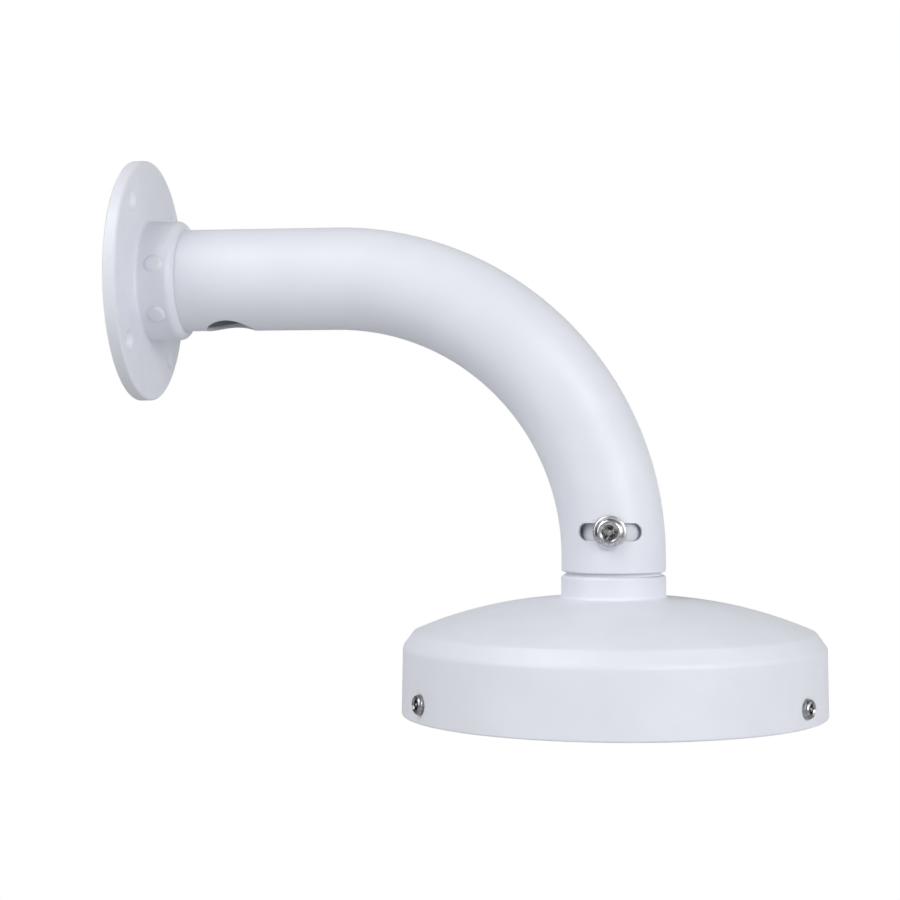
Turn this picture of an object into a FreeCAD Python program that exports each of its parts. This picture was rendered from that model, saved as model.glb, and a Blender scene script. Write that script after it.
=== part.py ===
import FreeCAD, Part
import math
import os

# Wall bracket for a dome camera: a round wall flange with a collar, a steel tube bent through
# a right angle, and a round canopy that hangs from the tube's mouth on its own spigot.
# Frame: the origin is the centre of the flange's back face, +X points away from the wall along
# the tube, +Z is up, and the slot and its clamp screw face -Y. Lengths are in millimetres.

# Wall flange, one casting with its collar
flange_d = 90.0
flange_t = 4.8
flange_front_round = 0.9
flange_back_round = 0.4
collar_d = 44.6
collar_l = 13.8
collar_foot_round = 1.2
collar_nose_land = 0.3
seat_floor_t = 2.6
cable_way_d = 32.0
wall_hole_count = 4
wall_hole_pcd = 73.2
wall_hole_d = 5.0
wall_hole_sink_d = 8.2
wall_hole_first = 40.5

# Arm tube
tube_d = 38.0
tube_wall = 1.5
tube_fit = 0.1
reach = 179.0
bend_r = 102.6
end_run = 5.5
tube_end_round = 0.7
cable_hole_d = 18.4
cable_hole_x = 36.2
cable_hole_turn = 5.0

# Set screws that lock the tube in the collar, painted over with it
set_screw_d = 6.4
set_screw_proud = 0.8
set_screw_crown = 0.7
set_screw_first = 12.0
set_screw_step = 50.0
set_screw_count = 2
thread_fit = 0.05

# Swivel slot in the tube's mouth: its half travel is the swing of the canopy each way
slot_above_end = 15.0
slot_h = 6.3
slot_half_travel = 27.0

# Canopy, one casting with its neck and spigot
swivel_gap = 1.2
neck_d = 38.2
neck_h = 8.3
neck_top_round = 1.2
neck_foot_round = 1.2
dome_start_d = 42.0
dome_edge_d = 146.0
dome_h = 12.2
dome_arc_r = 152.0
dome_edge_round = 1.2
shoulder_w = 3.9
shoulder_h = 5.3
shoulder_round = 3.0
skirt_h = 24.7
skirt_draft = 1.1
rim_round = 0.6
canopy_wall = 2.8
spigot_fit = 0.08
spigot_land_h = 5.2
spigot_taper_h = 1.2
spigot_waist_d = 34.6
spigot_top_d = 32.0
spigot_above_slot = 8.0
spigot_top_round = 1.0
spigot_bore_d = 23.0
bore_mouth_round = 1.5

# Clamp screw and washer, M6
clamp_d = 6.0
clamp_head_d = 10.5
clamp_head_h = 2.6
clamp_flat_d = 7.6
clamp_socket = 5.6
clamp_socket_depth = 1.8
clamp_l = 8.5
clamp_pin_d = 2.2
clamp_pin_h = 1.4
washer_d = 12.0
washer_t = 1.2
washer_hole_d = 6.4
washer_edge = 0.3
washer_gap = 0.65

# Side screws that hold the camera's base ring in the skirt, M4
side_screw_count = 3
side_screw_first = 63.0
side_screw_rise = 7.0
side_d = 4.0
side_head_d = 7.1
side_head_h = 2.2
side_flat_d = 5.0
side_socket = 3.95
side_socket_depth = 1.4
side_l = 8.0
side_pin_d = 1.5
side_pin_h = 1.1
side_sink = 0.2
side_sink_fit = 0.2
boss_d = 11.0
boss_proud = 2.4

# Small shapes that both kinds of screw head share: the dome's bulge is a share of its chord,
# and the star socket's valleys and lobes are shares of its width across the points
head_edge_h = 0.8
head_bulge = 0.16
socket_lead = 0.45
star_valley = 0.713
star_lobe = 0.086
shank_tip = 0.5
cut_over = 2.0

# Radii and places that follow from the sizes above
V = FreeCAD.Vector
ALONG = V(1, 0, 0)
UP = V(0, 0, 1)
tube_r = tube_d / 2
bore_r = tube_r - tube_wall
socket_r = tube_r + tube_fit
collar_end = flange_t + collar_l
straight_end = reach - bend_r
tube_end_z = -bend_r - end_run
slot_z = tube_end_z + slot_above_end
neck_top_z = tube_end_z - swivel_gap
neck_foot_z = neck_top_z - neck_h
dome_edge_z = neck_foot_z - dome_h
skirt_top_z = dome_edge_z - shoulder_h
rim_z = skirt_top_z - skirt_h
skirt_top_r = dome_edge_d / 2 + shoulder_w
rim_r = skirt_top_r + skirt_h * math.tan(math.radians(skirt_draft))
side_screw_z = rim_z + side_screw_rise
skirt_r_at_screw = rim_r - side_screw_rise * math.tan(math.radians(skirt_draft))
side_seat_r = skirt_r_at_screw - side_sink
washer_r = tube_r + washer_gap
spigot_top_z = slot_z + spigot_above_slot


def solid_of(points_and_arcs, centre, axis):
    """Revolve a closed outline, given as a start point and then lines and arcs, about an axis."""
    start = points_and_arcs[0]
    edges = []
    here = start
    for step in points_and_arcs[1:]:
        if isinstance(step, tuple):
            middle, end = step
            edges.append(Part.Arc(here, middle, end).toShape())
        else:
            end = step
            edges.append(Part.LineSegment(here, end).toShape())
        here = end
    edges.append(Part.LineSegment(here, start).toShape())
    return Part.Face(Part.Wire(edges)).revolve(centre, axis, 360)


def ring_edges(shape, axis, radius, place):
    """The full circles of this radius whose centre lies at this place along the axis."""
    found = []
    for edge in shape.Edges:
        curve = edge.Curve
        if isinstance(curve, Part.Circle):
            same_size = abs(curve.Radius - radius) < 0.01
            if same_size and abs(curve.Center.dot(axis) - place) < 0.01:
                found.append(edge)
    return found


def round_ring(shape, axis, radius, place, fillet):
    """Round the circular edge of this radius at this place."""
    return shape.makeFillet(fillet, ring_edges(shape, axis, radius, place))


def arc_middle(start, end, radius):
    """The middle of the arc of this radius from start to end that bulges up and outwards."""
    chord = end.sub(start)
    half = chord.Length / 2
    sagitta = radius - math.sqrt(radius ** 2 - half ** 2)
    outward = V(-chord.z, 0, chord.x).normalize()
    return start.add(chord.multiply(0.5)).add(outward.multiply(sagitta))


def facing(shape, angle, radius, z, axis_x):
    """Turn a shape made along +Z to point out from a vertical axis, at an angle round from -Y."""
    shape.rotate(V(0, 0, 0), ALONG, 90)
    shape.translate(V(0, -radius, z))
    shape.rotate(V(0, 0, 0), UP, angle)
    shape.translate(V(axis_x, 0, 0))
    return shape


def polar(radius, degrees):
    """A point on the XY plane at this radius and angle."""
    return V(radius * math.cos(math.radians(degrees)), radius * math.sin(math.radians(degrees)), 0)


def star_prism(across_points, height):
    """A bar with six round lobes standing on the XY plane, the shape of a star key."""
    tip = across_points / 2
    valley = star_valley * tip
    lobe_r = star_lobe * across_points
    lobe_at = tip - lobe_r
    along = lobe_at * math.cos(math.radians(30))
    hollow_r = (lobe_at ** 2 + valley ** 2 - lobe_r ** 2 - 2 * valley * along) / (
        2 * (along + lobe_r - valley))
    lobe_centre = polar(lobe_at, 0)
    across = polar(valley + hollow_r, 30).sub(lobe_centre)
    join = lobe_centre.add(across.multiply(lobe_r / (lobe_r + hollow_r)))
    join_r = join.Length
    join_turn = math.degrees(math.atan2(join.y, join.x))
    edges = []
    for turn in range(0, 360, 60):
        before = polar(join_r, turn - join_turn)
        after = polar(join_r, turn + join_turn)
        onward = polar(join_r, turn + 60 - join_turn)
        edges.append(Part.Arc(before, polar(tip, turn), after).toShape())
        edges.append(Part.Arc(after, polar(valley, turn + 30), onward).toShape())
    return Part.Face(Part.Wire(edges)).extrude(V(0, 0, height))


def star_screw(shank_d, shank_l, head_d, head_h, flat_d, socket, depth, pin_d, pin_h):
    """A round head screw along Z, its underside at z = 0, with a pin in its star socket."""
    shank_r = shank_d / 2
    edge = V(head_d / 2, 0, head_edge_h)
    flat = V(flat_d / 2, 0, head_h)
    chord = flat.sub(edge)
    bulge = V(chord.z, 0, -chord.x).multiply(head_bulge)
    dome = edge.add(chord.multiply(0.5)).add(bulge)
    screw = solid_of([
        V(0, 0, -shank_l),
        V(shank_r - shank_tip, 0, -shank_l),
        V(shank_r, 0, shank_tip - shank_l),
        V(shank_r, 0, 0),
        V(head_d / 2, 0, 0),
        edge,
        (dome, flat),
        V(0, 0, head_h),
    ], V(0, 0, 0), UP)
    key = star_prism(socket, depth + cut_over)
    key.translate(V(0, 0, head_h - depth))
    lead_h = socket_lead + socket_lead / 3
    wide_r = socket / 2 + socket_lead
    lead = Part.makeCone(wide_r - lead_h, wide_r, lead_h, V(0, 0, head_h - lead_h), UP)
    root = depth / 4
    pin = Part.makeCylinder(pin_d / 2, pin_h + root, V(0, 0, head_h - depth - root))
    return screw.cut(key).cut(lead).fuse(pin).removeSplitter()


def wall_flange():
    """The round plate with its collar, the tube's seat, the cable way and the wall holes."""
    flange = solid_of([
        V(0, 0, cable_way_d / 2),
        V(0, 0, flange_d / 2),
        V(flange_t, 0, flange_d / 2),
        V(flange_t, 0, collar_d / 2),
        V(collar_end, 0, collar_d / 2),
        V(collar_end, 0, socket_r),
        V(seat_floor_t, 0, socket_r),
        V(seat_floor_t, 0, cable_way_d / 2),
    ], V(0, 0, 0), ALONG)
    nose_round = collar_d / 2 - socket_r - collar_nose_land
    flange = round_ring(flange, ALONG, flange_d / 2, flange_t, flange_front_round)
    flange = round_ring(flange, ALONG, flange_d / 2, 0, flange_back_round)
    flange = round_ring(flange, ALONG, collar_d / 2, flange_t, collar_foot_round)
    flange = round_ring(flange, ALONG, collar_d / 2, collar_end, nose_round)
    sink_depth = (wall_hole_sink_d - wall_hole_d) / 2
    for i in range(wall_hole_count):
        turn = math.radians(wall_hole_first + 360 / wall_hole_count * i)
        y = wall_hole_pcd / 2 * math.cos(turn)
        z = wall_hole_pcd / 2 * math.sin(turn)
        hole = Part.makeCylinder(wall_hole_d / 2, flange_t, V(0, y, z), ALONG)
        sink = Part.makeCone(wall_hole_d / 2, wall_hole_sink_d / 2, sink_depth,
                             V(flange_t - sink_depth, y, z), ALONG)
        flange = flange.cut(hole).cut(sink)
    for screw_hole in set_screw_bars(set_screw_d / 2 + thread_fit, collar_d / 2 + cut_over):
        flange = flange.cut(screw_hole)
    return flange


def set_screw_bars(radius, outer_r):
    """Round bars from the tube's surface out through the collar, at the set screws' places."""
    bars = []
    for i in range(set_screw_count):
        bar = Part.makeCylinder(radius, outer_r - tube_r, V(0, 0, tube_r), UP)
        turn_up = 90 - set_screw_first + set_screw_step * i
        bar.rotate(V(0, 0, 0), ALONG, turn_up)
        bar.translate(V(flange_t + collar_l / 2, 0, 0))
        bars.append(bar)
    return bars


def collar_set_screws():
    """Two headless screws that bear on the tube, their crowned ends just proud of the collar."""
    screws = []
    end_r = collar_d / 2 + set_screw_proud
    for bar in set_screw_bars(set_screw_d / 2, end_r):
        outer = [e for e in bar.Edges if isinstance(e.Curve, Part.Circle)]
        outer.sort(key=lambda e: math.hypot(e.Curve.Center.y, e.Curve.Center.z))
        screws.append(bar.makeFillet(set_screw_crown, [outer[-1]]))
    return Part.makeCompound(screws)


def bent_bar(radius):
    """A solid bar along the arm's centre line, from the collar's seat to the tube's mouth."""
    run = Part.makeCylinder(radius, straight_end - seat_floor_t, V(seat_floor_t, 0, 0), ALONG)
    section = Part.Face(Part.Wire(Part.makeCircle(radius, V(straight_end, 0, 0), ALONG)))
    bend = section.revolve(V(straight_end, 0, -bend_r), V(0, 1, 0), 90)
    drop = Part.makeCylinder(radius, end_run, V(reach, 0, tube_end_z), UP)
    return run.fuse([bend, drop]).removeSplitter()


def slot_cutter():
    """The slot's shape: a level sector about the canopy's axis with round ends."""
    inner_r = bore_r - 4 * tube_wall
    outer_r = tube_r + 4 * tube_wall
    half_h = slot_h / 2
    corners = [V(0, -inner_r, slot_z - half_h), V(0, -outer_r, slot_z - half_h),
               V(0, -outer_r, slot_z + half_h), V(0, -inner_r, slot_z + half_h)]
    face = Part.Face(Part.makePolygon(corners + corners[:1]))
    face.rotate(V(0, 0, 0), UP, -slot_half_travel)
    cutter = face.revolve(V(0, 0, 0), UP, 2 * slot_half_travel)
    cutter.translate(V(reach, 0, 0))
    for angle in (-slot_half_travel, slot_half_travel):
        end = Part.makeCylinder(half_h, outer_r - inner_r)
        cutter = cutter.fuse(facing(end, angle, inner_r, slot_z, reach))
    return cutter


def arm_tube():
    """The bent tube: the cable hole under its root, turned to the front, and the swivel slot."""
    tube = bent_bar(tube_r).cut(bent_bar(bore_r))
    tube = round_ring(tube, UP, tube_r, tube_end_z, tube_end_round)
    cable_hole = Part.makeCylinder(cable_hole_d / 2, tube_d, V(cable_hole_x, 0, -tube_d), UP)
    cable_hole.rotate(V(0, 0, 0), ALONG, -cable_hole_turn)
    return tube.cut(cable_hole).cut(slot_cutter())


def canopy_outline(inset):
    """The dome, shoulder and skirt from the dome's start to the rim, moved in and down."""
    shift = V(-inset, 0, -inset)
    start = V(dome_start_d / 2, 0, neck_foot_z).add(shift)
    edge = V(dome_edge_d / 2, 0, dome_edge_z).add(shift)
    skirt_top = V(skirt_top_r, 0, skirt_top_z).add(shift)
    rim = V(rim_r - inset, 0, rim_z)
    return start, [(arc_middle(start, edge, dome_arc_r), edge), skirt_top, rim]


def canopy_shell():
    """The turned form of the canopy with its neck and spigot, hollow below."""
    spigot_r = bore_r - spigot_fit
    land_top_z = neck_top_z + swivel_gap + spigot_land_h
    waist_z = land_top_z + spigot_taper_h
    start, curve = canopy_outline(0)
    outer = solid_of([
        V(0, 0, spigot_top_z),
        V(spigot_top_d / 2, 0, spigot_top_z),
        V(spigot_waist_d / 2, 0, waist_z),
        V(spigot_r, 0, land_top_z),
        V(spigot_r, 0, neck_top_z),
        V(neck_d / 2, 0, neck_top_z),
        V(neck_d / 2, 0, neck_foot_z),
        start,
        *curve,
        V(0, 0, rim_z),
    ], V(0, 0, 0), UP)
    outer = round_ring(outer, UP, spigot_top_d / 2, spigot_top_z, spigot_top_round)
    outer = round_ring(outer, UP, neck_d / 2, neck_top_z, neck_top_round)
    outer = round_ring(outer, UP, neck_d / 2, neck_foot_z, neck_foot_round)
    outer = round_ring(outer, UP, dome_edge_d / 2, dome_edge_z, dome_edge_round)
    outer = round_ring(outer, UP, skirt_top_r, skirt_top_z, shoulder_round)
    outer = round_ring(outer, UP, rim_r, rim_z, rim_round)
    inner_start, inner_curve = canopy_outline(canopy_wall)
    hollow = solid_of([
        V(0, 0, inner_start.z),
        inner_start,
        *inner_curve,
        V(0, 0, rim_z),
    ], V(0, 0, 0), UP)
    bore = Part.makeCylinder(spigot_bore_d / 2, spigot_top_z - rim_z, V(0, 0, rim_z), UP)
    shell = outer.cut(hollow).cut(bore)
    return round_ring(shell, UP, spigot_bore_d / 2, inner_start.z, bore_mouth_round)


def side_screw_angles():
    """The angles of the side screws, round from -Y about the canopy's axis."""
    return [side_screw_first + 360 / side_screw_count * i for i in range(side_screw_count)]


def canopy():
    """The casting: shell, threaded bosses and spot faces for the side screws, clamp thread."""
    shell = canopy_shell()
    boss_in_r = skirt_r_at_screw - canopy_wall - boss_proud
    for angle in side_screw_angles():
        boss = Part.makeCylinder(boss_d / 2, boss_proud + canopy_wall / 2)
        shell = shell.fuse(facing(boss, angle, boss_in_r, side_screw_z, 0))
        sink = Part.makeCylinder(side_head_d / 2 + side_sink_fit, side_sink + cut_over)
        shell = shell.cut(facing(sink, angle, side_seat_r, side_screw_z, 0))
        thread = Part.makeCylinder(side_d / 2 + thread_fit, side_l + cut_over)
        shell = shell.cut(facing(thread, angle, side_seat_r - side_l, side_screw_z, 0))
    clamp_hole = Part.makeCylinder(clamp_d / 2 + thread_fit, tube_r)
    shell = shell.cut(facing(clamp_hole, 0, 0, slot_z, 0))
    shell.translate(V(reach, 0, 0))
    return shell.removeSplitter()


def clamp_screw():
    """The M6 screw through the slot."""
    screw = star_screw(clamp_d, clamp_l, clamp_head_d, clamp_head_h, clamp_flat_d,
                       clamp_socket, clamp_socket_depth, clamp_pin_d, clamp_pin_h)
    return facing(screw, 0, washer_r + washer_t, slot_z, reach)


def clamp_washer():
    """The flat washer under the clamp screw's head."""
    disc = Part.makeCylinder(washer_d / 2, washer_t)
    disc = disc.makeChamfer(washer_edge, ring_edges(disc, UP, washer_d / 2, 0))
    disc = disc.makeFillet(washer_edge, ring_edges(disc, UP, washer_d / 2, washer_t))
    disc = disc.cut(Part.makeCylinder(washer_hole_d / 2, washer_t))
    return facing(disc, 0, washer_r, slot_z, reach)


def canopy_screws():
    """The three M4 screws round the skirt."""
    screws = []
    for angle in side_screw_angles():
        screw = star_screw(side_d, side_l, side_head_d, side_head_h, side_flat_d,
                           side_socket, side_socket_depth, side_pin_d, side_pin_h)
        screws.append(facing(screw, angle, side_seat_r, side_screw_z, reach))
    return Part.makeCompound(screws)


pieces = {
    "wall_flange": wall_flange(),
    "collar_set_screws": collar_set_screws(),
    "arm_tube": arm_tube(),
    "canopy": canopy(),
    "clamp_screw": clamp_screw(),
    "clamp_washer": clamp_washer(),
    "canopy_screws": canopy_screws(),
}

os.makedirs("parts", exist_ok=True)
for name, shape in pieces.items():
    shape.exportStep(os.path.join("parts", name + ".step"))
    box = shape.BoundBox
    print(name, "solids", len(shape.Solids), "valid", shape.isValid(),
          "volume_cm3", round(shape.Volume / 1000, 2),
          "x %.1f %.1f y %.1f %.1f z %.1f %.1f" % (box.XMin, box.XMax, box.YMin, box.YMax,
                                                   box.ZMin, box.ZMax))
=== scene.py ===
# %% [markdown]
# A wall bracket for a dome camera: a round wall plate, a bent tube and a round canopy that
# hangs from the tube's mouth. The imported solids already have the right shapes, so this lesson
# dresses them. It gives every piece a finish, builds the small screws again with threads and
# sockets, and sets up a plain studio. Loading the frame comes first, because every piece
# that is made later takes its size and place from it.

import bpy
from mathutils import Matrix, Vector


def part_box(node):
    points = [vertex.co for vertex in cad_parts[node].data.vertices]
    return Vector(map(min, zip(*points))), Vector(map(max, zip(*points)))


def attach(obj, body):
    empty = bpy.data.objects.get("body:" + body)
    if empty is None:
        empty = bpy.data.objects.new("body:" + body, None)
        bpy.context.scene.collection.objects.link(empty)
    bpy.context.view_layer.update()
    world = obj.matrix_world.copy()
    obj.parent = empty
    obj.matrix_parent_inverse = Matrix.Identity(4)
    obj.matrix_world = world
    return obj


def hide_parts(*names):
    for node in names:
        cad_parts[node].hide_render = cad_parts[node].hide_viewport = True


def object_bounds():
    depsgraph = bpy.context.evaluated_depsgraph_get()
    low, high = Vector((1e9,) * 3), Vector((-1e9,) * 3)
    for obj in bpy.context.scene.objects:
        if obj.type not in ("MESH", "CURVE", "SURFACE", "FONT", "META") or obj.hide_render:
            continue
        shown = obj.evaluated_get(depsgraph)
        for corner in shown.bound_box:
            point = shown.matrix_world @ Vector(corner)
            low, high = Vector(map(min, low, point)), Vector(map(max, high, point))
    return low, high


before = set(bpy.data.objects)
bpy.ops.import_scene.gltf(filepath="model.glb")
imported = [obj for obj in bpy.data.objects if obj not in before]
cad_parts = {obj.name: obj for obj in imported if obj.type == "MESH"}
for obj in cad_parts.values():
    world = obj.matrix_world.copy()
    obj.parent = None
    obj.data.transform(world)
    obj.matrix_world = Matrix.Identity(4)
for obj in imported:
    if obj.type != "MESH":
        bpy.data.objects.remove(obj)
cad_low, cad_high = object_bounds()
print("solids loaded:", sorted(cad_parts))

# %% Modules and units
import math

import bmesh
import bpy
from mathutils import Matrix, Vector

MM = 0.001
scene = bpy.context.scene
size_mm = [round((high - low) / MM, 1) for low, high in zip(cad_low, cad_high)]
print("the bracket measures", size_mm, "mm")

# %% [markdown]
# Most places are read from the solids, so that a new size in the model moves them here too.
# The tube's mouth and the canopy share one upright axis, which the clamp screw points at.

# %% Places that the pieces share
plate_low, plate_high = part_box("wall_flange")
tube_low, tube_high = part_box("arm_tube")
canopy_low, canopy_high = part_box("canopy")
clamp_low, clamp_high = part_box("clamp_screw")
washer_low, washer_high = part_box("clamp_washer")
side_low, side_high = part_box("canopy_screws")

tube_radius = tube_high.z
axis_x = (canopy_low.x + canopy_high.x) / 2
clamp_z = (clamp_low.z + clamp_high.z) / 2
side_z = (side_low.z + side_high.z) / 2
print("canopy axis at x", round(axis_x / MM, 2), "mm, clamp screw at z", round(clamp_z / MM, 2), "mm")

# %% [markdown]
# The camera stands where the photographer stood. A long lens of 82 mm, about three quarters of
# a metre away, keeps the perspective flat, and the small turns below put the tube level in the
# frame. The rotation is built from the three directions that a camera looks, leans and rises in,
# which is easier to check than three angles in an order that has to be remembered.

# %% Camera
CAMERA_PLACE = Vector((0.23119, -0.74866, -0.06378))
CAMERA_TURN = -0.1492
CAMERA_TILT = 0.0
CAMERA_ROLL = -0.0009
LENS_MM = 82.0
SENSOR_MM = 36.0


def look_direction(turn, tilt):
    """The way a camera looks when it is turned from +Y and tilted down, in radians."""
    return Vector((math.sin(turn) * math.cos(tilt), math.cos(turn) * math.cos(tilt), -math.sin(tilt)))


forward = look_direction(CAMERA_TURN, CAMERA_TILT)
level_right = Vector((math.cos(CAMERA_TURN), -math.sin(CAMERA_TURN), 0))
level_up = level_right.cross(forward)
right = level_right * math.cos(CAMERA_ROLL) + level_up * math.sin(CAMERA_ROLL)
up = right.cross(forward)

camera_data = bpy.data.cameras.new("camera")
camera_data.lens = LENS_MM
camera_data.sensor_width = SENSOR_MM
camera = bpy.data.objects.new("camera", camera_data)
scene.collection.objects.link(camera)
camera.matrix_world = Matrix((
    (right.x, up.x, -forward.x, CAMERA_PLACE.x),
    (right.y, up.y, -forward.y, CAMERA_PLACE.y),
    (right.z, up.z, -forward.z, CAMERA_PLACE.z),
    (0, 0, 0, 1),
))
scene.camera = camera
print("camera looks along", [round(v, 4) for v in forward])

# %% [markdown]
# A shader is a graph of nodes, and most of its code is making nodes and joining sockets. A few
# small helpers keep the recipes below short. The first adds a node with its inputs, where an
# input is either a plain value or another node's output. The others do a sum, a change of range
# or a mix in one line, and start a group or a material.

# %% Helpers for shader graphs
def add(tree, kind, inputs=None, **settings):
    """Add a node. An input that is a socket gets a link, and any other input is a value."""
    node = tree.nodes.new("ShaderNode" + kind)
    for name, value in settings.items():
        setattr(node, name, value)
    for name, value in (inputs or {}).items():
        if isinstance(value, bpy.types.NodeSocket):
            tree.links.new(value, node.inputs[name])
        else:
            node.inputs[name].default_value = value
    return node


def math_node(tree, operation, first, second=0.0):
    """One arithmetic step, which returns its output socket."""
    return add(tree, "Math", {0: first, 1: second}, operation=operation).outputs[0]


def stretch(tree, value, low, high, to_low=0.0, to_high=1.0):
    """Map a value from one range to another and clamp it there."""
    inputs = {"Value": value, "From Min": low, "From Max": high, "To Min": to_low, "To Max": to_high}
    return add(tree, "MapRange", inputs).outputs[0]


def blend(tree, factor, first, second):
    """Mix two colours by a factor."""
    return add(tree, "Mix", {0: factor, 6: first, 7: second}, data_type="RGBA").outputs[2]


def blend_values(tree, factor, first, second):
    """Mix two numbers by a factor."""
    return add(tree, "Mix", {0: factor, 2: first, 3: second}, data_type="FLOAT").outputs[0]


def new_group(name, inputs, outputs):
    """Start a shader node group with named number inputs and named outputs."""
    tree = bpy.data.node_groups.new(name, "ShaderNodeTree")
    for label, default in inputs.items():
        socket = tree.interface.new_socket(label, in_out="INPUT", socket_type="NodeSocketFloat")
        socket.default_value = default
    for label, kind in outputs.items():
        tree.interface.new_socket(label, in_out="OUTPUT", socket_type="NodeSocket" + kind)
    return tree, tree.nodes.new("NodeGroupInput").outputs, tree.nodes.new("NodeGroupOutput")


def use_group(tree, group, **values):
    """Place a group in a material, with values for its inputs, and return its outputs."""
    node = tree.nodes.new("ShaderNodeGroup")
    node.node_tree = group
    for name, value in values.items():
        label = name.replace("_", " ").capitalize()
        node.inputs[label].default_value = value
    return node.outputs


def new_material(name, **sockets):
    """Start a material and set the plain values on its Principled shader's own sockets."""
    material = bpy.data.materials.new(name)
    material.use_nodes = True
    shader = material.node_tree.nodes["Principled BSDF"]
    for label, value in sockets.items():
        shader.inputs[label.replace("_", " ")].default_value = value
    return material, material.node_tree, shader


print("shader helpers ready")

# %% [markdown]
# Powder coat is sprayed on as dry powder and baked, so it flows a little but not quite flat.
# Close up it has a fine orange peel, about a millimetre from crest to crest and a few
# thousandths of a millimetre deep. The metal under it adds slow waves. On sharp edges the coat
# pulls back and rounds off. All of that is one group: it gives a height for bump, a mask for
# slow changes of tone, a mask for the edges and the normal with its edges rounded.

# %% Powder coat group
def powder_coat_group():
    """Orange peel, slow waves and rounded edges, from sizes in metres."""
    inputs = {"Peel size": 1.2 * MM, "Wave size": 14 * MM, "Edge width": 0.35 * MM}
    outputs = {"Height": "Float", "Tone": "Float", "Edge": "Float", "Soft normal": "Vector"}
    tree, given, out = new_group("powder_coat", inputs, outputs)
    place = add(tree, "TexCoord").outputs["Object"]

    peel_scale = math_node(tree, "DIVIDE", 1.0, given["Peel size"])
    peel = add(tree, "TexNoise", {"Vector": place, "Scale": peel_scale, "Detail": 1.5, "Roughness": 0.45})
    wave_scale = math_node(tree, "DIVIDE", 1.0, given["Wave size"])
    wave = add(tree, "TexNoise", {"Vector": place, "Scale": wave_scale, "Detail": 2.0, "Roughness": 0.5})
    waves_deep = math_node(tree, "MULTIPLY", wave.outputs[0], 3.0)
    height = math_node(tree, "ADD", peel.outputs[0], waves_deep)

    rounded = add(tree, "Bevel", {"Radius": given["Edge width"]}, samples=6).outputs[0]
    plain = add(tree, "NewGeometry").outputs["Normal"]
    same = add(tree, "VectorMath", {0: rounded, 1: plain}, operation="DOT_PRODUCT").outputs["Value"]
    edge = stretch(tree, same, 1.0, 0.8)

    tone = stretch(tree, wave.outputs[0], 0.35, 0.65)
    for label, socket in (("Height", height), ("Tone", tone), ("Edge", edge), ("Soft normal", rounded)):
        tree.links.new(socket, out.inputs[label])
    return tree


powder_coat = powder_coat_group()
print("group", powder_coat.name, "has", len(powder_coat.nodes), "nodes")

# %% [markdown]
# The coat is a cool white with a trace of blue. A single colour would look like plastic, so the
# tone mask moves it a little between two whites, and the edges, where the coat is thin, are a
# touch darker. The roughness moves with the tone mask. Half gloss, about 0.4, gives the broad
# soft highlights that this finish is known for.

# %% Powder coat on the castings
COAT_WHITE = (0.80, 0.82, 0.885, 1)
COAT_SHADE = (0.775, 0.795, 0.865, 1)
COAT_EDGE = (0.74, 0.755, 0.81, 1)
PEEL_DEPTH = 0.006 * MM


def coat_surface(tree, shader, peel_size, wave_size):
    """Join the powder coat group to a shader, and return its colour and roughness sockets."""
    coat = use_group(tree, powder_coat, peel_size=peel_size, wave_size=wave_size)
    body = blend(tree, coat["Tone"], COAT_WHITE, COAT_SHADE)
    edge_part = math_node(tree, "MULTIPLY", coat["Edge"], 0.5)
    colour = blend(tree, edge_part, body, COAT_EDGE)
    rough = stretch(tree, coat["Tone"], 0.0, 1.0, 0.38, 0.46)
    bump = add(tree, "Bump", {"Strength": 1.0, "Distance": PEEL_DEPTH, "Height": coat["Height"],
                              "Normal": coat["Soft normal"]})
    tree.links.new(bump.outputs[0], shader.inputs["Normal"])
    return colour, rough


def coated_casting(name, peel_size, wave_size):
    """Cast aluminium under white powder coat."""
    material, tree, shader = new_material(name, IOR=1.5)
    colour, rough = coat_surface(tree, shader, peel_size, wave_size)
    tree.links.new(colour, shader.inputs["Base Color"])
    tree.links.new(rough, shader.inputs["Roughness"])
    return material


def dress(node_name, material):
    """Put a material in the only slot of a carried-over solid."""
    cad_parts[node_name].material_slots[0].material = material


plate_coat = coated_casting("coated_plate", 1.3 * MM, 11 * MM)
canopy_coat = coated_casting("coated_canopy", 1.4 * MM, 18 * MM)
set_screw_coat = coated_casting("coated_set_screws", 0.9 * MM, 6 * MM)
dress("wall_flange", plate_coat)
dress("canopy", canopy_coat)
dress("collar_set_screws", set_screw_coat)
print("castings coated")

# %% [markdown]
# The tube is coated outside, but powder hardly gets into a long bore, so its inside is uncoated
# steel. It is given a colour far darker than such steel, as painted shade for the unlit bore. The
# inner half of the cut edges of the slot and the mouth fades to the same dark, which is painted
# shade in the gaps there. One mesh has both, and the shader tells them apart by how far a point
# lies from the tube's centre line. That line runs straight out to the bend, round a quarter circle
# and a little way straight down. The distance is worked out from the position, as a geometry book
# would do it.

# %% Inside of the tube
BORE_RADIUS = 17.5 * MM
STRAIGHT_END = 5.5 * MM
bend_radius = -tube_low.z - STRAIGHT_END
bend_start_x = axis_x - bend_radius


def length_of(tree, first, second):
    """The long side of a right angle, from its two short sides."""
    squares = math_node(tree, "ADD", math_node(tree, "MULTIPLY", first, first),
                        math_node(tree, "MULTIPLY", second, second))
    return math_node(tree, "SQRT", squares)


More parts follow.
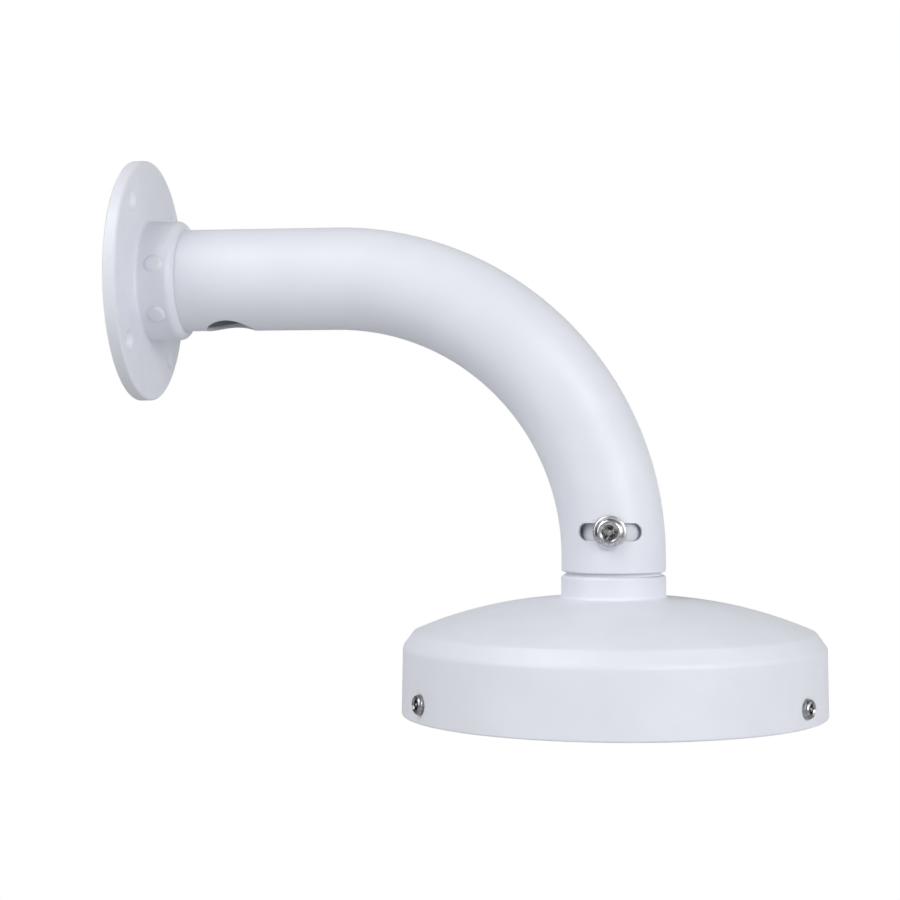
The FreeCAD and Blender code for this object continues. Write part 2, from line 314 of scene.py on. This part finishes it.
def bore_group():
    """A mask that is one inside the bent tube, zero on its outside, and fades on its cut edges."""
    tree, given, out = new_group("bore_mask", {"Bore radius": BORE_RADIUS}, {"Inside": "Float"})
    place = add(tree, "TexCoord").outputs["Object"]
    split = add(tree, "SeparateXYZ", {0: place}).outputs
    x, y, z = split[0], split[1], split[2]

    straight = length_of(tree, y, z)
    out_x = math_node(tree, "SUBTRACT", x, bend_start_x)
    up_z = math_node(tree, "ADD", z, bend_radius)
    off_ring = math_node(tree, "SUBTRACT", length_of(tree, out_x, up_z), bend_radius)
    bent = length_of(tree, off_ring, y)
    drop = length_of(tree, math_node(tree, "SUBTRACT", x, axis_x), y)

    in_bend = math_node(tree, "GREATER_THAN", x, bend_start_x)
    below = math_node(tree, "LESS_THAN", z, -bend_radius)
    radius = blend_values(tree, below, blend_values(tree, in_bend, straight, bent), drop)
    past_bore = math_node(tree, "SUBTRACT", radius, given["Bore radius"])
    # The fade between 0.1 and 0.7 mm past the bore is painted shade on the cut edges of the slot and mouth.
    inside = stretch(tree, past_bore, 0.7 * MM, 0.1 * MM)
    tree.links.new(inside, out.inputs["Inside"])
    return tree


bore_mask = bore_group()
print("bend starts at x", round(bend_start_x / MM, 1), "mm with a radius of", round(bend_radius / MM, 1))

# %% Powder coat on the tube
# Uncoated steel, coloured far darker than it is, as painted shade for the unlit bore.
SHADED_BARE_STEEL = (0.10, 0.105, 0.12, 1)
SHADED_BARE_SCALE = (0.055, 0.055, 0.065, 1)
MOTTLE_SCALE = 260.0
CABLE_HOLE_X = 36.2 * MM
SPRAYED_TO = 30 * MM
BARE_FROM = 60 * MM


def coated_tube():
    """Steel tube, white outside and dark inside, where the steel is darkened as painted shade, with some
    coat sprayed in at the cable hole.
    """
    material, tree, shader = new_material("coated_tube", IOR=1.5)
    colour, rough = coat_surface(tree, shader, 1.2 * MM, 22 * MM)
    place = add(tree, "TexCoord").outputs["Object"]
    hole = (CABLE_HOLE_X, 0.0, -tube_radius)
    from_hole = add(tree, "VectorMath", {0: place, 1: hole}, operation="DISTANCE").outputs["Value"]
    unsprayed = stretch(tree, from_hole, SPRAYED_TO, BARE_FROM, 0.35, 1.0)
    inside = math_node(tree, "MULTIPLY", use_group(tree, bore_mask)["Inside"], unsprayed)
    mottle = add(tree, "TexNoise", {"Vector": place, "Scale": MOTTLE_SCALE, "Detail": 4.0, "Roughness": 0.6})
    bare_in_painted_shade = blend(tree, mottle.outputs[0], SHADED_BARE_STEEL, SHADED_BARE_SCALE)
    bare_rough = stretch(tree, mottle.outputs[0], 0.3, 0.7, 0.5, 0.7)
    tree.links.new(blend(tree, inside, colour, bare_in_painted_shade), shader.inputs["Base Color"])
    tree.links.new(blend_values(tree, inside, rough, bare_rough), shader.inputs["Roughness"])
    tree.links.new(math_node(tree, "MULTIPLY", inside, 0.7), shader.inputs["Metallic"])
    return material


dress("arm_tube", coated_tube())
print("tube coated")

# %% [markdown]
# The screws are stainless steel. Their heads are cold formed and then tumbled, so they are
# bright, with faint rings round the axis and a few hair scratches. Each screw is built upright
# in its own space, so the distance from its own Z axis gives the rings in any direction that the
# screw ends up pointing. The three small side screws get a darker, slightly rougher copy of the
# clamp screw's steel, which is a painted dark reflection. Each socket gets a far darker, more
# patchy steel than its head, which is painted shade in the recess. So one recipe makes five
# steels from different numbers.

# %% Stainless steel group
def steel_group():
    """Faint turned rings, hair scratches and a slow tone, round the piece's own Z axis."""
    inputs = {"Ring pitch": 0.12 * MM, "Scratch length": 3.0 * MM}
    outputs = {"Height": "Float", "Tone": "Float", "Scratch": "Float"}
    tree, given, out = new_group("turned_steel", inputs, outputs)
    place = add(tree, "TexCoord").outputs["Object"]
    split = add(tree, "SeparateXYZ", {0: place}).outputs
    flat = add(tree, "CombineXYZ", {0: split[0], 1: split[1], 2: 0.0}).outputs[0]
    radius = add(tree, "VectorMath", {0: flat}, operation="LENGTH").outputs["Value"]
    turn_place = add(tree, "CombineXYZ", {0: radius, 1: split[2], 2: 0.0}).outputs[0]
    ring_scale = math_node(tree, "DIVIDE", 1.0, given["Ring pitch"])
    rings = add(tree, "TexNoise", {"Vector": turn_place, "Scale": ring_scale, "Detail": 2.0})

    long_way = add(tree, "Mapping", {"Vector": place, "Rotation": (0.3, 0.2, 0.7),
                                     "Scale": (1.0, 12.0, 12.0)})
    scratch_scale = math_node(tree, "DIVIDE", 1.0, given["Scratch length"])
    hairs = add(tree, "TexNoise", {"Vector": long_way.outputs[0], "Scale": scratch_scale, "Detail": 3.0})
    scratch = stretch(tree, hairs.outputs[0], 0.62, 0.70)
    tone = add(tree, "TexNoise", {"Vector": place, "Scale": 900.0, "Detail": 2.0}).outputs[0]
    height = math_node(tree, "SUBTRACT", rings.outputs[0], math_node(tree, "MULTIPLY", scratch, 0.6))
    for label, socket in (("Height", height), ("Tone", tone), ("Scratch", scratch)):
        tree.links.new(socket, out.inputs[label])
    return tree


turned_steel = steel_group()


def stainless(name, ring_pitch, scratch_length, bright, dull, low_rough, high_rough):
    """Stainless steel with patches of two tones, rings and scratches."""
    material, tree, shader = new_material(name, Metallic=1.0)
    steel = use_group(tree, turned_steel, ring_pitch=ring_pitch, scratch_length=scratch_length)
    patch = stretch(tree, steel["Tone"], 0.40, 0.60)
    tree.links.new(blend(tree, patch, bright, dull), shader.inputs["Base Color"])
    rough = stretch(tree, steel["Tone"], 0.3, 0.7, low_rough, high_rough)
    scratched = math_node(tree, "ADD", rough, math_node(tree, "MULTIPLY", steel["Scratch"], 0.12))
    tree.links.new(scratched, shader.inputs["Roughness"])
    bump = add(tree, "Bump", {"Strength": 0.6, "Distance": 0.004 * MM, "Height": steel["Height"]})
    tree.links.new(bump.outputs[0], shader.inputs["Normal"])
    return material


screw_steel = stainless("stainless_clamp_screw", ring_pitch=0.12 * MM, scratch_length=3 * MM,
                        bright=(0.62, 0.62, 0.63, 1), dull=(0.42, 0.42, 0.44, 1),
                        low_rough=0.14, high_rough=0.24)
# Both socket steels are far darker than their heads: painted shade in the deep recesses.
socket_steel_painted_shade = stainless("stainless_clamp_socket_painted_shade", ring_pitch=0.2 * MM, scratch_length=2 * MM,
                         bright=(0.55, 0.55, 0.56, 1), dull=(0.04, 0.04, 0.045, 1),
                         low_rough=0.16, high_rough=0.30)
# The side screws get a darker copy of the clamp screw's steel: a painted dark reflection.
side_steel_painted_dark = stainless("stainless_side_screws", ring_pitch=0.12 * MM, scratch_length=3 * MM,
                       bright=(0.42, 0.42, 0.43, 1), dull=(0.26, 0.26, 0.27, 1),
                       low_rough=0.16, high_rough=0.28)
side_socket_painted_shade = stainless("stainless_side_sockets_painted_shade", ring_pitch=0.2 * MM, scratch_length=2 * MM,
                        bright=(0.14, 0.14, 0.145, 1), dull=(0.05, 0.05, 0.055, 1),
                        low_rough=0.25, high_rough=0.40)
washer_steel = stainless("stainless_washer", ring_pitch=0.3 * MM, scratch_length=6 * MM,
                         bright=(0.78, 0.78, 0.79, 1), dull=(0.60, 0.60, 0.61, 1),
                         low_rough=0.20, high_rough=0.30)
print("group", turned_steel.name, "has", len(turned_steel.nodes), "nodes")

# %% [markdown]
# A screw is a turned shape in which some rings aren't round: the socket is a star and the
# thread climbs as it goes round. So each ring of the mesh is a function that gives a radius and a
# height for any angle, and the rings are joined with quads. That one helper makes heads,
# stars, threads and washers.

# %% Rings joined into a mesh
ROUND_STEPS = 120


def lofted(name, rings, closed=False, steps=ROUND_STEPS):
    """A mesh from rings round the Z axis. Each ring gives (radius, height) for an angle."""
    mesh = bmesh.new()
    rows = []
    for ring in rings:
        row = []
        for i in range(steps):
            angle = math.tau * i / steps
            radius, height = ring(angle)
            row.append(mesh.verts.new((radius * math.cos(angle), radius * math.sin(angle), height)))
        rows.append(row)
    pairs = list(zip(rows, rows[1:]))
    if closed:
        pairs.append((rows[-1], rows[0]))
    for lower, upper in pairs:
        for i in range(steps):
            j = (i + 1) % steps
            mesh.faces.new((lower[i], lower[j], upper[j], upper[i]))
    if not closed:
        mesh.faces.new(rows[0][::-1])
        mesh.faces.new(rows[-1])
    bmesh.ops.recalc_face_normals(mesh, faces=mesh.faces)
    data = bpy.data.meshes.new(name)
    mesh.to_mesh(data)
    mesh.free()
    piece = bpy.data.objects.new(name, data)
    scene.collection.objects.link(piece)
    return piece


def smooth_but_for_edges(piece, angle_degrees=32):
    """Shade a piece smooth, and keep edges sharper than the angle crisp."""
    limit = math.radians(angle_degrees)
    mesh = bmesh.new()
    mesh.from_mesh(piece.data)
    for face in mesh.faces:
        face.smooth = True
    for edge in mesh.edges:
        edge.smooth = len(edge.link_faces) == 2 and edge.calc_face_angle() < limit
    mesh.to_mesh(piece.data)
    mesh.free()


def round_ring(radius, height):
    """A plain round ring at one height."""
    return lambda angle: (radius, height)


STAR_VALLEY = 0.713
STAR_LOBE = 0.086


def star_radius(across):
    """The outline of a star socket: how far it lies from its middle, at any angle."""
    sixth = math.pi / 3
    tip = across / 2
    valley = STAR_VALLEY * tip
    lobe = STAR_LOBE * across
    lobe_at = tip - lobe
    along = lobe_at * math.cos(sixth / 2)
    hollow = (lobe_at ** 2 + valley ** 2 - lobe ** 2 - 2 * valley * along) / (2 * (along + lobe - valley))
    hollow_at = valley + hollow
    middle_x = hollow_at * math.cos(sixth / 2) - lobe_at
    middle_y = hollow_at * math.sin(sixth / 2)
    share = lobe / (lobe + hollow)
    join = math.atan2(middle_y * share, lobe_at + middle_x * share)

    def radius(angle):
        off_lobe = abs((angle + sixth / 2) % sixth - sixth / 2)
        if off_lobe < join:
            side = lobe_at * math.sin(off_lobe)
            return lobe_at * math.cos(off_lobe) + math.sqrt(lobe ** 2 - side ** 2)
        off_valley = sixth / 2 - off_lobe
        side = hollow_at * math.sin(off_valley)
        return hollow_at * math.cos(off_valley) - math.sqrt(hollow ** 2 - side ** 2)
    return radius


print("ring helpers ready, with", ROUND_STEPS, "steps round")

# %% [markdown]
# A screw from its tip to its socket: a chamfered tip, a thread, a small round under the head, the
# dome, the flat, a short cone that leads the key in, the star with its six lobes, and the floor.
# A pin stands on the floor and keeps plain keys out. The cone reaches down between the lobes,
# which comes from taking the larger of cone and star at every angle. The star and its floor get
# the darker steel, which is painted shade in the deep socket, and the pin's end is bright again.

# %% Screws with star sockets
THREAD_ROWS_PER_TURN = 12
THREAD_DEPTH = 0.61
DOME_BULGE = 0.16
DOME_ROWS = 12
HEAD_EDGE_H = 0.8 * MM
SOCKET_LEAD = 0.45 * MM


def thread_rings(radius, pitch, tip, top):
    """Rings of a thread between two heights, which starts and ends by running out."""
    depth = THREAD_DEPTH * pitch
    count = round((top - tip) / pitch * THREAD_ROWS_PER_TURN)
    rings = []
    for row in range(count + 1):
        height = tip + (top - tip) * row / count
        fade = min(1.0, (top - height) / pitch, 0.35 + (height - tip) / pitch)

        def ring(angle, height=height, fade=fade):
            turn = (height / pitch - angle / math.tau) % 1.0
            flank = min(1.0, max(0.0, abs(turn - 0.5) * 2.6 - 0.15))
            return radius - depth * flank * fade, height
        rings.append(ring)
    return rings


def dome_rings(head_radius, flat_radius, head_height):
    """Rings over the head's dome, an arc from its edge up to its flat."""
    start = Vector((head_radius, HEAD_EDGE_H))
    end = Vector((flat_radius, head_height))
    chord = end - start
    along = chord.normalized()
    outward = Vector((along.y, -along.x))
    half_turn = 2 * math.atan(2 * DOME_BULGE)
    arc_radius = chord.length / 2 / math.sin(half_turn)
    rings = []
    for i in range(DOME_ROWS + 1):
        turn = half_turn * (2 * i / DOME_ROWS - 1)
        point = start + along * (chord.length / 2 + arc_radius * math.sin(turn))
        point += outward * arc_radius * (math.cos(turn) - math.cos(half_turn))
        rings.append(round_ring(point.x, point.y))
    return rings


def socket_rings(across, depth, head_height, flat_radius):
    """Rings from the flat down the lead cone and the star to the socket's floor."""
    star = star_radius(across)
    mouth = across / 2 + SOCKET_LEAD
    cone_h = SOCKET_LEAD * 4 / 3

    def seam(angle):
        radius = max(star(angle), mouth - cone_h)
        return radius, head_height - (mouth - radius)

    def below_seam(angle):
        radius, height = seam(angle)
        return star(angle), height - 0.02 * MM

    return [
        round_ring((flat_radius + mouth) / 2, head_height),
        round_ring(mouth + 0.05 * MM, head_height),
        round_ring(mouth, head_height - 0.03 * MM),
        seam,
        below_seam,
        lambda angle: (star(angle), head_height - depth + 0.1 * MM),
        lambda angle: (star(angle) - 0.1 * MM, head_height - depth),
    ]


def pin_rings(diameter, height, floor):
    """Rings from the socket's floor up its pin."""
    radius = diameter / 2
    top = floor + height
    return [
        round_ring(radius + 0.1 * MM, floor),
        round_ring(radius, floor + 0.1 * MM),
        round_ring(radius, top - 0.15 * MM),
        round_ring(radius - 0.15 * MM, top),
        round_ring(radius * 0.3, top),
    ]


def star_screw(name, head_d, head_h, flat_d, across, socket_depth, shank_d, length, pitch,
               pin_d, pin_h, steels):
    """A screw with a pin in its star socket, along +Z with its head's underside at zero."""
    shank = shank_d / 2
    root = shank - THREAD_DEPTH * pitch
    rings = [round_ring(root * 0.35, -length), round_ring(root - 0.25 * MM, -length)]
    rings += thread_rings(shank, pitch, -length + 0.3 * MM, -0.25 * MM)
    rings += [round_ring(shank + 0.12 * MM, -0.04 * MM), round_ring(shank + 0.3 * MM, 0.0)]
    rings += [round_ring(head_d / 2 - 0.15 * MM, 0.0), round_ring(head_d / 2, 0.12 * MM)]
    rings += dome_rings(head_d / 2, flat_d / 2, head_h)
    rings += socket_rings(across, socket_depth, head_h, flat_d / 2)
    # The second steel, darkened as painted shade, runs from the cone's lower edge over the floor and up the
    # pin's side.
    dark_from = len(rings) - 4
    dark_to = len(rings) + 2
    rings += pin_rings(pin_d, pin_h, head_h - socket_depth)
    piece = lofted(name, rings)
    smooth_but_for_edges(piece)
    for steel in steels:
        piece.data.materials.append(steel)
    for face in piece.data.polygons[dark_from * ROUND_STEPS:dark_to * ROUND_STEPS]:
        face.material_index = 1
    return piece


def point_outwards(piece, angle_degrees, radius, height):
    """Stand a piece that was built along +Z out from the canopy's axis, at an angle from -Y."""
    turn = Matrix.Rotation(math.radians(angle_degrees), 4, "Z")
    lay_down = Matrix.Rotation(math.radians(90), 4, "X")
    place = Matrix.Translation((axis_x, 0, height))
    out = Matrix.Translation((0, -radius, 0))
    piece.matrix_world = place @ turn @ out @ lay_down


print("screw helpers ready")

# %% [markdown]
# The clamp screw is an M6. Its head's width and height, its length and its seat on the washer
# are read from the solids. Only its flat, its socket with the pin and its thread are typed here.

# %% Clamp screw
clamp_seat = -washer_low.y
clamp_head_h = -clamp_low.y - clamp_seat
clamp_length = clamp_high.y - washer_low.y
clamp_screw = star_screw("clamp_screw_m6", head_d=clamp_high.z - clamp_low.z, head_h=clamp_head_h,
                         flat_d=7.6 * MM, across=5.6 * MM, socket_depth=1.8 * MM,
                         shank_d=6 * MM, length=clamp_length, pitch=1.0 * MM,
                         pin_d=2.2 * MM, pin_h=1.4 * MM, steels=(screw_steel, socket_steel_painted_shade))
point_outwards(clamp_screw, 0, clamp_seat, clamp_z)
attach(clamp_screw, "swivel_head")
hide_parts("clamp_screw")
print("clamp screw", round(clamp_length / MM, 1), "mm long, with", len(clamp_screw.data.polygons), "faces")

# %% [markdown]
# Three smaller screws sit round the skirt, a third of a turn apart. The second one points back,
# three degrees off +Y, so the far side of the solids' box is the edge of its flat top. That
# gives the distance of all three from the axis.

# %% Side screws
SIDE_ANGLES = (63, 183, 303)
side_head_h = 2.2 * MM
side_flat_d = 5 * MM
off_back = math.radians(SIDE_ANGLES[1] - 180)
side_top = (side_high.y - side_flat_d / 2 * math.sin(off_back)) / math.cos(off_back)
side_seat = side_top - side_head_h
for number, angle in enumerate(SIDE_ANGLES, 1):
    side_screw = star_screw("side_screw_%d" % number, head_d=side_high.z - side_low.z,
                            head_h=side_head_h, flat_d=side_flat_d, across=3.95 * MM,
                            socket_depth=1.4 * MM, shank_d=4 * MM, length=8 * MM, pitch=0.7 * MM,
                            pin_d=1.5 * MM, pin_h=1.1 * MM, steels=(side_steel_painted_dark, side_socket_painted_shade))
    point_outwards(side_screw, angle, side_seat, side_z)
    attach(side_screw, "swivel_head")
    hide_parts("canopy_screws")
print("side screws stand", round(side_seat / MM, 2), "mm from the canopy's axis")

# %% [markdown]
# A washer is punched from sheet. The punch rolls its front edge over and leaves the back edge
# crisp, so the profile is a rectangle with one generous round and small breaks elsewhere.

# %% Washer
WASHER_ROLL = 0.65 * MM
ROLL_STEPS = 5


def punched_washer(name, outer_d, hole_d, thickness):
    """A flat washer along +Z, from zero to its thickness, with its front edge rolled over."""
    outer = outer_d / 2
    hole = hole_d / 2
    roll_from = thickness - WASHER_ROLL
    profile = [(hole + 0.1 * MM, 0), (outer - 0.08 * MM, 0), (outer, 0.08 * MM), (outer, roll_from)]
    for i in range(1, ROLL_STEPS + 1):
        turn = math.radians(90 * i / ROLL_STEPS)
        inwards = WASHER_ROLL * (1 - math.cos(turn))
        profile.append((outer - inwards, roll_from + WASHER_ROLL * math.sin(turn)))
    profile += [(hole + WASHER_ROLL / 2, thickness), (hole, thickness - WASHER_ROLL / 2), (hole, 0.1 * MM)]
    piece = lofted(name, [round_ring(radius, height) for radius, height in profile], closed=True)
    smooth_but_for_edges(piece)
    piece.data.materials.append(washer_steel)
    return piece


washer_t = washer_high.y - washer_low.y
washer = punched_washer("clamp_washer_punched", washer_high.z - washer_low.z, 6.4 * MM, washer_t)
point_outwards(washer, 0, -washer_high.y, clamp_z)
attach(washer, "swivel_head")
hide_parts("clamp_washer")
print("washer", round(washer_t / MM, 2), "mm thick")

# %% [markdown]
# The bracket was coated after the tube had been set in the plate, so the coat bridges the seam
# where the tube enters the collar. It leaves a small hollow fillet all round.

# %% Coat in the seam at the tube's root
SEAM_STEPS = 160
SEAM_ROWS = 8


def seam_fillet(name, radius, face_x, leg):
    """A ring of coat with a hollow face, in the corner between the tube and the collar's nose."""
    face = []
    for i in range(SEAM_ROWS + 1):
        turn = math.radians(90 * i / SEAM_ROWS)
        face.append((radius + leg * (1 - math.sin(turn)), leg * (1 - math.cos(turn))))
    profile = face + [(radius - 0.05 * MM, leg), (radius - 0.05 * MM, -0.3 * MM), (radius + leg, -0.3 * MM)]
    piece = lofted(name, [round_ring(r, h) for r, h in profile], closed=True, steps=SEAM_STEPS)
    smooth_but_for_edges(piece, 60)
    piece.matrix_world = Matrix.Translation((face_x, 0, 0)) @ Matrix.Rotation(math.radians(90), 4, "Y")
    piece.data.materials.append(set_screw_coat)
    return piece


seam = seam_fillet("seam_coat", tube_radius, plate_high.x, 0.35 * MM)
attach(seam, "arm")
print("seam fillet at x", round(plate_high.x / MM, 2), "mm")

# %% [markdown]
# Two set screws lock the tube in the collar, and the coat covers them too. It fills the slit
# round each screw and softens its edge, so all that shows is a low bump. The bump's foot follows
# the round collar: at each angle its height comes from the collar's radius.

# %% Coated set screws
COLLAR_RADIUS = 22.3 * MM
SET_SCREW_TURNS = (-12, 38)
SET_SCREW_PROUD = 0.8 * MM
COAT_SPREAD = 0.5 * MM
BUMP_STEPS = 72
set_low, set_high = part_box("collar_set_screws")
set_screw_x = (set_low.x + set_high.x) / 2
set_screw_radius = (set_high.x - set_low.x) / 2


def coated_bump(name, radius, proud):
    """A set screw along +Z, with its coat run out onto a collar that lies along X."""
    top = COLLAR_RADIUS + proud

    def on_collar(r, lift, share=0.0):
        def ring(angle):
            side = r * math.sin(angle)
            skin = math.sqrt(COLLAR_RADIUS ** 2 - side ** 2)
            return r, (skin + lift) * (1 - share) + top * share
        return ring

    rings = [
        round_ring(radius - 0.4 * MM, tube_radius + 0.1 * MM),
        round_ring(radius, tube_radius + 0.5 * MM),
        on_collar(radius, -0.6 * MM),
        on_collar(radius + COAT_SPREAD, -0.05 * MM),
        on_collar(radius + COAT_SPREAD * 0.75, 0.01 * MM),
        on_collar(radius + COAT_SPREAD * 0.4, 0.08 * MM),
        on_collar(radius + COAT_SPREAD * 0.1, 0.22 * MM),
        on_collar(radius - 0.12 * MM, 0.1 * MM, 0.45),
        on_collar(radius - 0.34 * MM, 0.1 * MM, 0.7),
        on_collar(radius - 0.62 * MM, 0.1 * MM, 0.87),
        round_ring(radius - 0.95 * MM, top - 0.03 * MM),
        round_ring(radius - 1.35 * MM, top),
        round_ring(radius * 0.1, top),
    ]
    piece = lofted(name, rings, steps=BUMP_STEPS)
    smooth_but_for_edges(piece, 75)
    piece.data.materials.append(set_screw_coat)
    return piece


for number, rise in enumerate(SET_SCREW_TURNS, 1):
    bump = coated_bump("set_screw_coated_%d" % number, set_screw_radius, SET_SCREW_PROUD)
    outward = Matrix.Rotation(math.radians(90 + rise), 4, "X")
    bump.matrix_world = Matrix.Translation((set_screw_x, 0, 0)) @ outward
    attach(bump, "arm")
    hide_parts("collar_set_screws")
print("set screws at x", round(set_screw_x / MM, 2), "mm")

# %% [markdown]
# The studio is a pale floor far below, three large soft lamps in front, one at the right side
# and walls that glow a little. Each lamp is placed by the direction that it shines from, seen
# from the middle of the bracket. Directions are turned from the front, -Y, towards +X, and up
# from the horizon. White things need little light, and what shapes them is the fall from the
# side that faces a lamp to the side that doesn't.

# %% Lamps
LAMP_DISTANCE = 1.6
LAMP_SIZE = 1.0
middle = (cad_low + cad_high) / 2


def lamp(name, turn_degrees, rise_degrees, power):
    """A square soft lamp that faces the bracket."""
    turn = math.radians(turn_degrees)
    rise = math.radians(rise_degrees)
    away = Vector((math.sin(turn) * math.cos(rise), -math.cos(turn) * math.cos(rise), math.sin(rise)))
    data = bpy.data.lights.new(name, "AREA")
    data.shape = "SQUARE"
    data.size = LAMP_SIZE
    data.energy = power
    light = bpy.data.objects.new(name, data)
    scene.collection.objects.link(light)
    light.location = middle + away * LAMP_DISTANCE
    light.rotation_mode = "QUATERNION"
    light.rotation_quaternion = away.to_track_quat("Z", "Y")
    light.visible_camera = False
    return light


lamps = [
    lamp("upper_left", -45, 45, 11.3),
    lamp("low_left", -45, 15, 4.6),
    lamp("low_right", 45, 15, 14.4),
    lamp("right_side", 90, 15, 4.4),
]
print(len(lamps), "lamps")

# %% [markdown]
# The walls of the studio are the world. The ones behind the bracket and on its left are lit and
# send soft light back. White paint hardly shows what stands round it, but steel does. It needs
# dark things to mirror between the bright lamps, or it looks like plaster, so photographers hang
# black cloth above and on one side, and hold up grey cards in front and on the other. Mirrored
# rays get such a room here: each wall has the way it lies in, its glow on paint and its glow in a
# mirror. A camera ray gets pure white, which gives the plain background.

# %% World and floor
FLOOR_DROP = 0.5
FLOOR_HALF = 2.0
FLOOR_LIGHT = (0.66, 0.66, 0.67, 1)
FLOOR_DARK = (0.63, 0.63, 0.64, 1)
WHITE = (1, 1, 1, 1)
WALLS = (
    ((0, 1, 0), 0.60, 0.42),
    ((-1, 0, 0), 0.47, 0.02),
    ((1, 0, 0), 0.0, 0.45),
    ((0, 0, 1), 0.10, 0.02),
    ((0, -1, 0), 0.0, 0.52),
)

world = bpy.data.worlds.new("studio")
world.use_nodes = True
scene.world = world
sky = world.node_tree
sky.nodes.clear()
direction = add(sky, "TexCoord").outputs["Generated"]
ray = add(sky, "LightPath").outputs
glow = 0.0
for way, lit, mirrored in WALLS:
    facing = add(sky, "VectorMath", {0: direction, 1: way}, operation="DOT_PRODUCT").outputs["Value"]
    strength = stretch(sky, ray["Is Glossy Ray"], 0.0, 1.0, lit, mirrored)
    wall = math_node(sky, "MULTIPLY", math_node(sky, "MAXIMUM", facing, 0.0), strength)
    glow = math_node(sky, "ADD", wall, glow)
room = add(sky, "Background", {"Color": WHITE, "Strength": glow})
seen = add(sky, "Background", {"Color": WHITE, "Strength": 1.0})
sky_mix = add(sky, "MixShader", {0: ray["Is Camera Ray"], 1: room.outputs[0], 2: seen.outputs[0]})
add(sky, "OutputWorld", {"Surface": sky_mix.outputs[0]})

# The floor is white to the camera and clear from below, and paint for all other rays.
floor_mesh = bmesh.new()
bmesh.ops.create_grid(floor_mesh, x_segments=8, y_segments=8, size=FLOOR_HALF)
floor_data = bpy.data.meshes.new("floor")
floor_mesh.to_mesh(floor_data)
floor_mesh.free()
floor = bpy.data.objects.new("floor", floor_data)
scene.collection.objects.link(floor)
floor.location = (middle.x, 0, cad_low.z - FLOOR_DROP)

floor_paint, floor_tree, floor_shader = new_material("pale_floor", Roughness=0.7)
floor_place = add(floor_tree, "TexCoord").outputs["Object"]
floor_noise = add(floor_tree, "TexNoise", {"Vector": floor_place, "Scale": 6.0, "Detail": 2.0})
floor_colour = blend(floor_tree, floor_noise.outputs[0], FLOOR_LIGHT, FLOOR_DARK)
floor_tree.links.new(floor_colour, floor_shader.inputs["Base Color"])
floor_seen = add(floor_tree, "Emission", {"Color": WHITE, "Strength": 1.0})
floor_ray = add(floor_tree, "LightPath").outputs["Is Camera Ray"]
floor_mix = add(floor_tree, "MixShader", {0: floor_ray, 1: floor_shader.outputs[0],
                                          2: floor_seen.outputs[0]})
floor_back = add(floor_tree, "NewGeometry").outputs["Backfacing"]
floor_clear = add(floor_tree, "BsdfTransparent")
floor_one_side = add(floor_tree, "MixShader", {0: floor_back, 1: floor_mix.outputs[0],
                                               2: floor_clear.outputs[0]})
floor_tree.links.new(floor_one_side.outputs[0], floor_tree.nodes["Material Output"].inputs["Surface"])
floor.data.materials.append(floor_paint)

scene.view_settings.view_transform = "Standard"
print("floor at z", round(floor.location.z, 3), "m")
